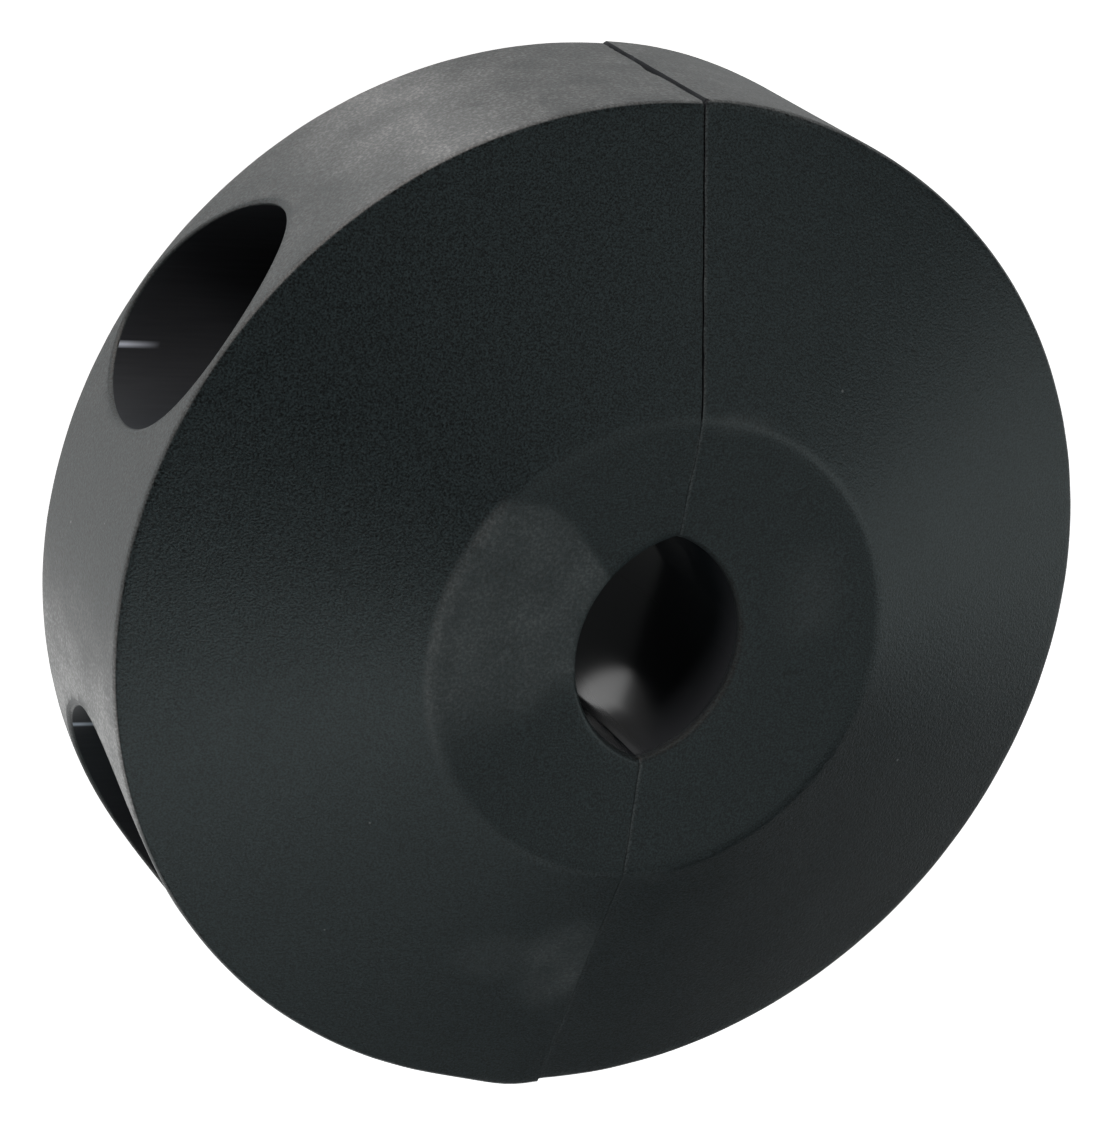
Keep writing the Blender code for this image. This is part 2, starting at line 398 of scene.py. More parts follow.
def bright_zinc_plate(fastener):
    """Zinc-plated steel: silvery and slightly cloudy, with fine tumbling marks."""
    made, tree, shader = new_material("bright_zinc_plate")
    place = node(tree, "ShaderNodeTexCoord").outputs["Object"]
    cloud = node(tree, "ShaderNodeTexNoise", {"Vector": place, "Scale": 1 / (1.5 * MM), "Detail": 5.0})
    marks = node(tree, "ShaderNodeTexNoise", {"Vector": place, "Scale": 1 / (0.12 * MM), "Detail": 2.0})
    dull = [c * 0.78 for c in fastener.zinc]
    base = node(
        tree,
        "ShaderNodeMix",
        {"Factor": cloud.outputs["Fac"], "A": rgba(fastener.zinc), "B": rgba(dull)},
        data_type="RGBA",
    )
    rough = node(
        tree,
        "ShaderNodeMapRange",
        {"Value": cloud.outputs["Fac"], "To Min": 0.18, "To Max": 0.42},
    )
    dents = node(
        tree,
        "ShaderNodeBump",
        {"Height": marks.outputs["Fac"], "Strength": 0.15, "Distance": 0.01 * MM},
    )
    shader.inputs["Metallic"].default_value = 1.0
    tree.links.new(base.outputs["Result"], shader.inputs["Base Color"])
    tree.links.new(rough.outputs["Result"], shader.inputs["Roughness"])
    tree.links.new(dents.outputs["Normal"], shader.inputs["Normal"])
    return made


def natural_nylon(fastener):
    """Natural nylon: milky and slightly translucent, with a faintly uneven skin."""
    made, tree, shader = new_material("natural_nylon")
    place = node(tree, "ShaderNodeTexCoord").outputs["Object"]
    mottle = node(tree, "ShaderNodeTexNoise", {"Vector": place, "Scale": 1 / (0.8 * MM), "Detail": 3.0})
    dark = [c * 0.85 for c in fastener.nylon]
    base = node(
        tree,
        "ShaderNodeMix",
        {"Factor": mottle.outputs["Fac"], "A": rgba(fastener.nylon), "B": rgba(dark)},
        data_type="RGBA",
    )
    uneven = node(
        tree,
        "ShaderNodeBump",
        {"Height": mottle.outputs["Fac"], "Strength": 0.2, "Distance": 0.01 * MM},
    )
    shader.inputs["Roughness"].default_value = 0.42
    shader.inputs["Subsurface Weight"].default_value = 0.2
    shader.inputs["Subsurface Scale"].default_value = 0.5 * MM
    tree.links.new(base.outputs["Result"], shader.inputs["Base Color"])
    tree.links.new(uneven.outputs["Normal"], shader.inputs["Normal"])
    return made


# ---------------------------------------------------------------- shared mesh work


def new_object(name, mesh):
    made = bpy.data.objects.new(name, mesh)
    bpy.context.scene.collection.objects.link(made)
    return made


def grid_faces(rows, columns, wrap_rows, wrap_columns):
    """Quads of a grid of points numbered row by row."""
    faces = []
    for i in range(rows if wrap_rows else rows - 1):
        for j in range(columns if wrap_columns else columns - 1):
            below, beside = (i + 1) % rows, (j + 1) % columns
            faces.append(
                (i * columns + j, i * columns + beside, below * columns + beside, below * columns + j)
            )
    return faces


def finish_mesh(obj, look, sharp_degrees):
    """Gives a piece smooth shading that keeps its steep edges, and its material."""
    mesh = obj.data
    mesh.shade_smooth()
    mesh.set_sharp_from_angle(angle=math.radians(sharp_degrees))
    mesh.materials.clear()
    mesh.materials.append(look)


def outward(mesh):
    """Turns a closed mesh right side out."""
    mesh.calc_loop_triangles()
    points = np.array([v.co for v in mesh.vertices])
    corners = points[np.array([t.vertices[:] for t in mesh.loop_triangles])]
    if np.linalg.det(corners).sum() < 0:
        mesh.flip_normals()


def place_piece(obj, body, slot_name, *nodes):
    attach(obj, body)
    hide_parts(*nodes)
    return obj


# ---------------------------------------------------------------- moulded halves


def arc_rows(centre, radius, first_degrees, last_degrees, steps):
    """Points of an arc in the plane of radius and height."""
    angles = np.radians(np.linspace(first_degrees, last_degrees, steps + 1))
    return [(centre[0] + radius * math.cos(a), centre[1] + radius * math.sin(a)) for a in angles]


# How many rows of points cover the bore's wall, the hub, the cone and half the rim
WALL_ROWS, HUB_ROWS, CONE_ROWS, RIM_ROWS = 25, 21, 45, 20
# Steps round the bore's mouth, and round the hub's and the rim's edges
MOUTH_STEPS, EDGE_STEPS = 4, 5


def front_rows(half):
    """Rows of the front skin, from the middle of the bore's wall to the middle of the rim.

    A row is (blend, radius, bore_offset, height). Blend 0 follows the bore's arc, enlarged by
    bore_offset, and blend 1 follows a circle of this radius.
    """
    rows = []
    mouth = half.bore_edge
    sunk = HALF_THICKNESS - half.hub_dish
    for height in np.linspace(0, sunk - mouth, WALL_ROWS)[:-1]:
        rows.append((0.0, 0.0, 0.0, height))
    for offset, height in arc_rows((mouth, sunk - mouth), mouth, 180, 90, MOUTH_STEPS):
        rows.append((0.0, 0.0, offset, height))
    slope = math.atan2(HALF_THICKNESS - half.rim_width / 2, OUTER_RADIUS - half.hub_radius)
    reach = half.hub_edge * math.tan(slope / 2)
    start = half.hub_radius - reach
    for share in np.linspace(0, 1, HUB_ROWS)[1:-1]:
        height = HALF_THICKNESS - half.hub_dish * (1 - share)
        rows.append((share, start, mouth, height))
    hub_centre = (start, HALF_THICKNESS - half.hub_edge)
    tilt = math.degrees(slope)
    for radius, height in arc_rows(hub_centre, half.hub_edge, 90, 90 - tilt, EDGE_STEPS):
        rows.append((1.0, radius, 0.0, height))
    edge = half.rim_edge
    drop = edge * math.tan((math.pi / 2 - slope) / 2)
    edge_centre = (OUTER_RADIUS - edge, half.rim_width / 2 - drop)
    edge_arc = arc_rows(edge_centre, edge, 90 - tilt, 0, EDGE_STEPS)
    _, top_radius, _, top_height = rows[-1]
    foot_radius, foot_height = edge_arc[0]
    for share in np.linspace(0, 1, CONE_ROWS)[1:-1]:
        radius = top_radius + (foot_radius - top_radius) * share
        rows.append((1.0, radius, 0.0, top_height + (foot_height - top_height) * share))
    rows += [(1.0, radius, 0.0, height) for radius, height in edge_arc]
    for height in np.linspace(edge_arc[-1][1], 0, RIM_ROWS)[1:]:
        rows.append((1.0, OUTER_RADIUS, 0.0, height))
    return rows


# Distances from the split face of the columns that carry its edge, in metres
EDGE_COLUMNS = (0.0, 0.10 * MM, 0.25 * MM, 0.55 * MM, 1.1 * MM, 1.9 * MM)
ARC_COLUMNS = 132


def column_angles(radius, beyond):
    """Angles from the +Y side of the columns on an arc whose centre lies beyond the split."""
    near = [math.asin(min(1, (beyond + SPLIT_HALF_GAP + c) / radius)) for c in EDGE_COLUMNS]
    middle = np.linspace(near[-1], math.pi - near[-1], ARC_COLUMNS + 1)[1:-1]
    return np.array([*near, *middle, *[math.pi - a for a in reversed(near)]])


def half_grid(half):
    """The skin of a half on the -X side as an array of rows by columns of points."""
    front = front_rows(half)
    rows = front + [(b, r, o, -h) for b, r, o, h in reversed(front[1:-1])]
    grid = []
    for blend, radius, offset, height in rows:
        bore_radius = BORE_RADIUS + offset
        inner = column_angles(bore_radius, half.bore_closing)
        outer = column_angles(max(radius, half.hub_radius / 2), 0.0)
        inner_x = half.bore_closing - bore_radius * np.sin(inner)
        inner_y = bore_radius * np.cos(inner)
        outer_x, outer_y = -radius * np.sin(outer), radius * np.cos(outer)
        x = inner_x * (1 - blend) + outer_x * blend
        y = inner_y * (1 - blend) + outer_y * blend
        grid.append(np.stack([x, y, np.full_like(x, height)], axis=1))
    return np.array(grid)


def grid_normals(grid):
    """Unit normals of a grid that closes in its row direction, pointing out of the half."""
    along = np.roll(grid, -1, axis=0) - np.roll(grid, 1, axis=0)
    across = np.gradient(grid, axis=1)
    normals = np.cross(along, across)
    normals /= np.maximum(np.linalg.norm(normals, axis=2, keepdims=True), 1e-12)
    rim_row = int(np.argmax(np.abs(grid[:, grid.shape[1] // 2, 0])))
    if normals[rim_row, grid.shape[1] // 2, 0] > 0:
        normals = -normals
    return normals


def slow_noise(points, size, seed):
    """Smooth noise from -1 to 1 at each point, with features about as large as size."""
    shift = Vector((seed * 17.3, seed * 5.9, seed * 11.1))
    flat = points.reshape(-1, 3) / size
    values = [noise.noise(Vector(p) + shift) for p in flat]
    return np.array(values).reshape(points.shape[:-1])


# How much of the split edge's shape and of its lip reaches each of the columns beside it, and
# how near two of those columns may come
EDGE_PULL = (1.0, 0.6, 0.2, 0.0, 0.0)
LIP_SHAPE = (0.7, 1.0, 0.5, 0.0, 0.0)
COLUMN_SPACING = 0.05 * MM
# How ragged the split edge is across the top of the rim, up the top of the cone, and elsewhere
RIM_RAGGED, CONE_RAGGED, ELSE_RAGGED = 1.9, 0.35, 0.08
# Both halves share this seed, so that their edges stray from straight together
STRAY_SEED = 40


def edge_pull(half, line, seed, is_left):
    """How far each point of a split edge moves towards the other half, in metres."""
    on_rim = np.abs(line[:, 2]) < half.rim_width / 2
    on_cone = (np.hypot(line[:, 0], line[:, 1]) > half.hub_radius) & ~on_rim
    # the right half is built turned half round, so its -Y end becomes the top
    top = line[:, 1] > 0 if is_left else line[:, 1] < 0
    zones = [top & on_rim, top & on_cone]
    gap = np.select(zones, [half.rim_gap, half.cone_gap], half.tight_gap)
    ragged_share = np.select(zones, [RIM_RAGGED, CONE_RAGGED], ELSE_RAGGED)
    ragged = slow_noise(line, 1.6 * MM, seed) + 0.5 * slow_noise(line, 0.6 * MM, seed + 1)
    nicks = np.clip(ragged - 0.35, 0, None) * half.raggedness * ragged_share
    nicks += np.abs(ragged) * gap * 0.8
    turned = line if is_left else line * (-1, -1, 1)
    stray = half.wander * np.where(top, 1.0, 0.2)
    stray *= slow_noise(np.abs(turned), 3.5 * MM, STRAY_SEED)
    pull = SPLIT_HALF_GAP - gap - nicks + (stray if is_left else -stray)
    if is_left:
        chip = half.chip * np.exp(-((line[:, 2] / (1.6 * MM)) ** 2))
        pull -= np.where(on_rim & top, chip, 0)
    return pull


# Where a half's rim stands a little proud: how far, how far from the split, and over what width
LEFT_PROUD = (0.45 * MM, 2.5 * MM, 3.5 * MM)
RIGHT_PROUD = (0.26 * MM, 5.0 * MM, 9.0 * MM)


def swell(points, amount, from_split, spread):
    """Moves the rim outwards near its -Y end, where the moulding stands a little proud."""
    radius = np.hypot(points[..., 0], points[..., 1])
    along = (-points[..., 0] - from_split) / spread
    near_rim = np.clip(radius / OUTER_RADIUS, 0, 1) ** 6
    out = amount * np.exp(-(along**2)) * near_rim * (points[..., 1] < 0)
    grown = points.copy()
    grown[..., 0] += out * points[..., 0] / np.maximum(radius, MM)
    grown[..., 1] += out * points[..., 1] / np.maximum(radius, MM)
    return grown


def skin_points(half, seed, proud, is_left):
    """The half's skin with its moulding unevenness, split edges and nicks."""
    flat = half_grid(half)
    normals = grid_normals(flat)
    wave = 0.7 * slow_noise(flat, 19 * MM, seed) + 0.3 * slow_noise(flat, 8 * MM, seed + 1)
    inside_rim = np.hypot(flat[..., 0], flat[..., 1]) - OUTER_RADIUS
    from_edge = np.hypot(inside_rim, np.abs(flat[..., 2]) - half.rim_width / 2)
    trimmed = slow_noise(flat, 2.5 * MM, seed + 6) * np.exp(-((from_edge / (0.5 * MM)) ** 2))
    grid = flat + normals * (wave * half.waviness + trimmed * half.edge_trim)[..., None]
    grid = swell(grid, *proud)
    # the flash stands on the right half only
    lip = 0.0 if is_left else half.lip
    for end in (0, -1):
        line = flat[:, end]
        pull = edge_pull(half, line, seed + 2, is_left)
        uneven = lip * (0.5 + 0.5 * slow_noise(line, 3.0 * MM, seed + 4))
        for k, (share, rise) in enumerate(zip(EDGE_PULL, LIP_SHAPE)):
            column = k if end == 0 else -1 - k
            depth = np.maximum(EDGE_COLUMNS[k] - pull * share, k * COLUMN_SPACING - pull)
            grid[:, column, 0] += EDGE_COLUMNS[k] - depth
            grid[:, column] += normals[:, column] * (uneven * rise)[:, None]
    return grid, swell(flat, *proud)


def inset_ring(ring, distance):
    """A closed ring of points in a plane of constant X, moved inwards by a distance."""
    after, before = np.roll(ring, -1, axis=0), np.roll(ring, 1, axis=0)
    along = after - before
    inwards = np.stack([np.zeros(len(ring)), -along[:, 2], along[:, 1]], axis=1)
    inwards /= np.linalg.norm(inwards, axis=1, keepdims=True)
    area = np.sum(ring[:, 1] * after[:, 2] - after[:, 1] * ring[:, 2])
    return ring + inwards * distance * (1 if area > 0 else -1)


# How wide the sloping border of a split face is, between its ragged edge and its flat part
SPLIT_BORDER = 0.4 * MM


def half_mesh(name, half, seed, proud, is_left):
    """A closed mesh of the half without its screw holes."""
    grid, flat = skin_points(half, seed, proud, is_left)
    rows, columns = grid.shape[:2]
    points = [tuple(p) for p in grid.reshape(-1, 3)]
    faces = grid_faces(rows, columns, True, False)
    for end in (0, columns - 1):
        ring = inset_ring(flat[:, end], SPLIT_BORDER)
        first = len(points)
        points += [tuple(p) for p in ring]
        for i in range(rows):
            j = (i + 1) % rows
            faces.append((i * columns + end, first + i, first + j, j * columns + end))
        faces.append(tuple(range(first, first + rows)))
    mesh = bpy.data.meshes.new(name)
    mesh.from_pydata(points, [], faces)
    at_split = np.ones(len(points))
    at_split[: rows * columns] = np.isin(np.arange(rows * columns) % columns, (0, columns - 1))
    point_attribute(mesh, "at_split", at_split)
    return new_object(name, mesh)


def recalculate(mesh):
    """Makes all faces of a closed mesh agree, then turns them outwards."""
    shape = bmesh.new()
    shape.from_mesh(mesh)
    bmesh.ops.recalc_face_normals(shape, faces=shape.faces[:])
    shape.to_mesh(mesh)
    shape.free()
    outward(mesh)


def mouth_edge_at(half, turn):
    """Width of a screw hole's broken edge, which is widest at its +Y end, where turn is 0."""
    from_end = np.abs((turn + math.pi) % (2 * math.pi) - math.pi)
    return half.mouth_edge * (1 + 1.4 * np.exp(-((from_end / 0.5) ** 2)))


def screw_hole_cutter(name, half, side):
    """The space of one screw hole: rounded mouth on the rim, drafted wall, floor and narrow hole."""
    sides = 120
    turn = np.linspace(0, 2 * math.pi, sides, endpoint=False)
    radius = half.counterbore_radius
    edge = mouth_edge_at(half, turn)
    floor = half.web
    # a row is (depth, radius, whether depth counts outwards from the rim or from the split)
    rows = [(4 * MM, radius + edge + 0.6 * MM, True)]
    for degrees in (12, 30, 50, 70, 90):
        a = math.radians(degrees)
        rows.append((edge * math.cos(a) - edge, radius + edge - edge * math.sin(a), True))
    narrow = radius - half.counterbore_draft
    foot = 0.6 * MM
    draft_length = 14 * MM
    rows += [(floor + draft_length, radius, False)]
    rows += [(floor + foot, narrow, False)]
    for degrees in (30, 60, 90):
        a = math.radians(degrees)
        rows.append((floor + foot - foot * math.sin(a), narrow - foot + foot * math.cos(a), False))
    lead = 0.3 * MM
    rows.append((floor, half.hole_radius + lead, False))
    rows.append((floor - lead, half.hole_radius, False))
    past_split = 1 * MM
    rows.append((-past_split, half.hole_radius, False))
    points = []
    for depth, r, from_rim in rows:
        y = side * SCREW_OFFSET + r * np.cos(turn)
        surface = np.sqrt(np.maximum(OUTER_RADIUS**2 - y**2, 0))
        x = -(surface + depth) if from_rim else np.full(sides, -depth)
        points += [tuple(p) for p in np.stack([x, y, r * np.sin(turn)], axis=1)]
    faces = grid_faces(len(rows), sides, False, True)
    faces.append(tuple(range(sides)))
    faces.append(tuple(range(len(points) - sides, len(points))))
    mesh = bpy.data.meshes.new(name)
    mesh.from_pydata(points, [], faces)
    recalculate(mesh)
    return new_object(name, mesh)


def cut(obj, tools):
    """Cuts the tools out of an object and keeps the result as its mesh."""
    for tool in tools:
        made = obj.modifiers.new(tool.name, "BOOLEAN")
        made.operation = "DIFFERENCE"
        made.solver = "EXACT"
        made.object = tool
    graph = bpy.context.evaluated_depsgraph_get()
    mesh = bpy.data.meshes.new_from_object(obj.evaluated_get(graph))
    obj.modifiers.clear()
    obj.data = mesh
    for tool in tools:
        bpy.data.objects.remove(tool)


def fade(values, start, end):
    """1 below start, 0 above end, and smooth between."""
    share = np.clip((end - values) / (end - start), 0, 1)
    return share * share * (3 - 2 * share)


def point_attribute(mesh, name, values):
    attribute = mesh.attributes.new(name, "FLOAT", "POINT")
    attribute.data.foreach_set("value", np.clip(values, 0, 1).astype(np.float32))


# Pale patches on the front, painted highlights below the hub, beside it and right of the bore, and bloom
# and handling at the hub's edge: centre, half width and half height in mm, and strength
BLOOM_AND_HIGHLIGHT_PATCHES = {
    "below_the_hub": (-2.6, -30.5, 4.8, 6.2, 0.15),
    "beside_it": (-8.5, -29.5, 5.5, 3.4, 0.06),
    "right_of_the_bore": (13.0, 5.0, 4.6, 6.5, 0.06),
    "hub_edge_by_the_split": (3.6, 19.9, 4.5, 1.3, 0.05),
    "hub_edge_below": (3.4, -20.6, 3.6, 0.9, 0.06),
}

# Thicker bloom round the rim, with painted highlights in its narrow peaks at 118 and 197 degrees: angle
# and spread in degrees, and how much it adds to the rest
RIM_BLOOM_AND_HIGHLIGHTS = (
    (105, 42, 0.17),
    (118, 9, 0.19),
    (197, 10, 0.78),
    (300, 40, 0.04),
    (20, 30, 0.04),
)
THIN_RIM_BLOOM = 0.04
# How pale the sector on the hub is painted, and how much bloom covers the screw holes' mouths
HUB_SECTOR_PALENESS, MOUTH_BLOOM = 0.17, 0.03
# How pale the rubbed edges are: round the rim, along the split, and round the hub
RIM_WEAR, SPLIT_WEAR, HUB_WEAR = 0.16, 0.17, 0.07
WEAR_SEED = 21
# Where the pale sector on the hub begins and ends, and over what it fades, in degrees
PATCH_START, PATCH_END, PATCH_FADE = 133, 188, 26


def degrees_between(angle, middle):
    """The size of the turn between two angles, from 0 to 180."""
    return np.abs((angle - middle + 180) % 360 - 180)


def places_on(points, half):
    """Where the points lie on the collar, and which of them are on a face, the rim and the hub."""
    x, y, z = points.T
    radius, height = np.hypot(x, y), np.abs(z)
    face = height > half.rim_width / 2 + 0.3 * MM
    high = height > HALF_THICKNESS - 1.5 * MM
    return SimpleNamespace(
        x=x,
        y=y,
        z=z,
        radius=radius,
        height=height,
        angle=np.degrees(np.arctan2(y, x)) % 360,
        left=x < 0,
        front=z > 0,
        face=face,
        rim=(radius > OUTER_RADIUS - 0.25 * MM) & (height < half.rim_width / 2),
        hub=face & (radius < half.hub_radius + 0.6 * MM) & high,
    )


def worn_edges(at, uneven, half):
    """How worn each point is: round the rim's edge, along the split line and round the hub."""
    from_rim_edge = np.hypot(at.radius - OUTER_RADIUS, at.height - half.rim_width / 2)
    hub_edge = np.exp(-(((at.radius - half.hub_radius) / (0.24 * MM)) ** 2)) * at.face
    lower_right = 335
    hub_edge *= fade(degrees_between(at.angle, lower_right), 85, 120) * ~(at.left & (at.y > 0))
    from_split = np.clip(np.abs(at.x) - SPLIT_HALF_GAP, 0, None)
    split_line = np.exp(-((from_split / (0.12 * MM)) ** 2)) * at.face * ~at.left
    split_line *= np.where((at.y > 0) | (at.radius < half.hub_radius), 1.0, 0.2)
    wear = RIM_WEAR * np.exp(-((from_rim_edge / (0.22 * MM)) ** 2)) * uneven
    return wear + (SPLIT_WEAR * split_line + HUB_WEAR * hub_edge) * (0.3 + 0.7 * uneven)


def pale_hub_sector(at):
    """1 on the sector of the left hub that is painted paler and duller, which has a rounded top corner."""
    rounding = 9 * np.clip((at.radius / MM - 14) / 6.5, 0, 1) ** 2
    start = fade(PATCH_START + rounding - at.angle, -1, 3)
    return start * fade(at.angle, PATCH_END, PATCH_END + PATCH_FADE) * at.hub * at.left * at.front


def bloom_and_highlight_cover(at):
    """How pale each point is painted, on the front and round the rim: bloom, a pale sector of the hub, and
    painted highlights.
    """
    cover = HUB_SECTOR_PALENESS * pale_hub_sector(at)
    for centre_x, centre_y, width, tall, strength in BLOOM_AND_HIGHLIGHT_PATCHES.values():
        reach = np.hypot((at.x / MM - centre_x) / width, (at.y / MM - centre_y) / tall)
        same_half = at.left == (centre_x < 0)
        # the patches below the hub, beside it and right of the bore paint highlights
        cover += strength * fade(reach, 0.3, 1.0) * at.front * at.face * same_half
    on_rim = np.full_like(at.x, THIN_RIM_BLOOM)
    for middle, spread, amount in RIM_BLOOM_AND_HIGHLIGHTS:
        # the narrow peaks at 118 and 197 degrees are painted highlights
        on_rim += amount * np.exp(-((degrees_between(at.angle, middle) / spread) ** 2))
    return cover + on_rim * at.rim


def in_screw_mouth(at, half, is_left):
    """Which points lie inside the screw holes or on their broken edges."""
    built_y = at.y * (1 if is_left else -1)
    beside = built_y - np.sign(built_y) * SCREW_OFFSET
    end = half.counterbore_radius + 0.9 * mouth_edge_at(half, np.arctan2(at.z, beside))
    return (np.hypot(beside, at.z) < end) & ~at.face & (at.radius > half.hub_radius)


def mark_surface(obj, half, is_left):
    """Marks where the rubber is worn, where bloom has come out on it, where highlights are painted on it,
    and where it is polished.
    """
    points = np.array([v.co for v in obj.data.vertices])
    at_split = np.array([one.value for one in obj.data.attributes["at_split"].data])
    at = places_on(points, half)
    uneven = 0.5 + 0.5 * slow_noise(points, 2.2 * MM, WEAR_SEED)
    # haze holds the bloom and the painted highlights
    haze = np.where(in_screw_mouth(at, half, is_left), MOUTH_BLOOM, bloom_and_highlight_cover(at))
    haze *= 1 - at_split
    # the rim is dullest at its top, and the bore's mouth and the split edges are wholly dull
    rim_top = 85
    from_top = degrees_between(at.angle, rim_top)
    dull = (0.45 + 0.55 * fade(from_top, 20, 34)) * at.rim + 0.2 * pale_hub_sector(at)
    wall_end = HALF_THICKNESS - half.hub_dish - half.bore_edge - 0.2 * MM
    near_bore = at.radius < BORE_RADIUS + half.bore_edge
    in_bore = near_bore & (at.height < wall_end)
    mouth_top = HALF_THICKNESS - half.hub_dish - 0.03 * MM
    bore_mouth = near_bore & ~in_bore & (at.height < mouth_top)
    dull = np.where(bore_mouth | (at_split > 0.5), 1.0, dull)
    point_attribute(obj.data, "wear", worn_edges(at, uneven, half))
    point_attribute(obj.data, "haze", haze)
    point_attribute(obj.data, "dull", dull)
    point_attribute(obj.data, "polish", np.where(in_bore, 1.0, 0.0))


def flatten_split_faces(mesh):
    """Shades the flat split faces flat, so that their rims don't bend their reflections."""
    for face in mesh.polygons:
        level = abs(abs(face.center.x) - SPLIT_HALF_GAP) < 0.01 * MM
        if level and abs(face.normal.x) > 0.999:
            face.use_smooth = False


def paint_cored_faces(mesh, half, look):
    """Gives the split face and the inside of the screw holes their own finish."""
    mesh.materials.append(look)
    at_split = [one.value > 0.5 for one in mesh.attributes["at_split"].data]
    for face in mesh.polygons:
        x, y, z = face.center
        in_hole = math.hypot(abs(y) - SCREW_OFFSET, z) < half.counterbore_radius
        under_skin = abs(x) > 2 * SPLIT_HALF_GAP and math.hypot(x, y) < OUTER_RADIUS - 0.1 * MM
        if (in_hole and under_skin) or all(at_split[index] for index in face.vertices):
            face.material_index = 1


def moulded_half(name, half, body, seed, proud, is_left, look, cored_look):
    """One finished half, built on the -X side and turned half round for the right half."""
    obj = half_mesh(name + "_moulding", half, seed, proud, is_left)
    recalculate(obj.data)
    cut(obj, [screw_hole_cutter(f"{name}_tool_{side}", half, side) for side in (-1, 1)])
    facing = 0.0 if is_left else math.pi
    obj.data.transform(Matrix.Rotation(facing, 4, "Z"))
    mark_surface(obj, half, is_left)
    finish_mesh(obj, look, sharp_degrees=38)
    flatten_split_faces(obj.data)
    paint_cored_faces(obj.data, half, cored_look)
    return place_piece(obj, body, "hard_black_rubber", name)


# ---------------------------------------------------------------- fasteners


def hexagon(turn, across_flats):
    """Radius of a hexagon at each angle, with a corner at angle 0."""
    from_flat = (turn + math.pi / 6) % (math.pi / 3) - math.pi / 6
    return across_flats / 2 / np.cos(np.pi / 6 - np.abs(from_flat))


def thread_depth_share(phase):
    """0 on the crest of a 60 degree thread and 1 at its root."""
    saw = np.abs((phase % 1.0) - 0.5) * 2
    return np.clip((saw - 0.125) / 0.75, 0, 1)


def round_body(name, stations, sides, axis_y, closed):
    """A body along X. A station is (x, radii) with one radius for each column."""
    turn = np.linspace(0, 2 * math.pi, sides, endpoint=False)
    points = []
    for x, radii in stations:
        radii = np.broadcast_to(radii, (sides,))
        y, z = axis_y + radii * np.cos(turn), radii * np.sin(turn)
        points += [tuple(p) for p in np.stack([np.full(sides, x), y, z], axis=1)]
    faces = grid_faces(len(stations), sides, closed, True)
    if not closed:
        faces.append(tuple(range(sides)))
        faces.append(tuple(range(len(points) - sides, len(points))))
    mesh = bpy.data.meshes.new(name)
    mesh.from_pydata(points, [], faces)
    recalculate(mesh)
    return new_object(name, mesh)


# Slope of the 30 degree chamfer that rounds the corners of a hexagon: width gained per depth
CHAMFER_SLOPE = math.tan(math.radians(60))
# Stations along one turn of a thread
THREAD_STEPS = 14


def screw_stations(fastener, node_name):
    """Hex head, washer face, plain shank and rolled thread with a chamfered end."""
    low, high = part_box(node_name)
    seat = high.x - fastener.screw_length
    turn = np.linspace(0, 2 * math.pi, fastener.sides, endpoint=False)
    hexagon_radii = hexagon(turn, fastener.across_flats)
    # the head's top: a shallow bowl, a narrow rim round it, and the chamfered corners
    top_radius = fastener.across_flats / 2 * 0.97
    bowl = 0.10 * MM
    rim = 0.02 * MM
    stations = [(low.x + bowl, top_radius * s) for s in (0.30, 0.70, 0.92)]
    stations += [(low.x, top_radius * 0.95), (low.x + rim, top_radius)]
    chamfer = 1.15 * MM
    for share in np.linspace(0.1, 1, 6):
        rise = share * chamfer
        cone = top_radius + rise * CHAMFER_SLOPE
        stations.append((low.x + rim + rise, np.minimum(hexagon_radii, cone)))
    washer_face, face_radius = 0.4 * MM, 6.0 * MM
    for back in (0.35 * MM, 0.10 * MM):
        stations.append((seat - washer_face - back, hexagon_radii))
    corner_radius, softened = 6.9 * MM, 0.1 * MM
    stations.append((seat - washer_face, np.minimum(hexagon_radii, corner_radius) - softened))
    stations += [(seat - washer_face, face_radius), (seat, face_radius - 0.05 * MM)]
    # a fillet under the head, then the shank
    shank = fastener.major_radius
    stations += [(seat, shank + 0.5 * MM), (seat + 0.15 * MM, shank + 0.15 * MM)]
    stations.append((seat + 0.5 * MM, shank))
    thread_start = high.x - fastener.thread_length
    stations += [(x, shank) for x in np.linspace(seat + 2 * MM, thread_start - 2 * MM, 12)]
    end_chamfer = 1.0 * MM
    run_in_start = thread_start - 1.5 * MM
    for x in np.arange(run_in_start, high.x, fastener.pitch / THREAD_STEPS):
        phase = x / fastener.pitch - turn / (2 * math.pi)
        run_in = np.clip((x - run_in_start) / (2 * fastener.pitch), 0, 1)
        radii = shank - fastener.thread_depth * run_in * thread_depth_share(phase)
        cap = shank - np.clip(x - high.x + end_chamfer, 0, None)
        stations.append((x, np.minimum(radii, cap)))
    tip = shank - end_chamfer
    stations += [(high.x, tip * s) for s in (1.0, 0.6, 0.2)]
    return stations


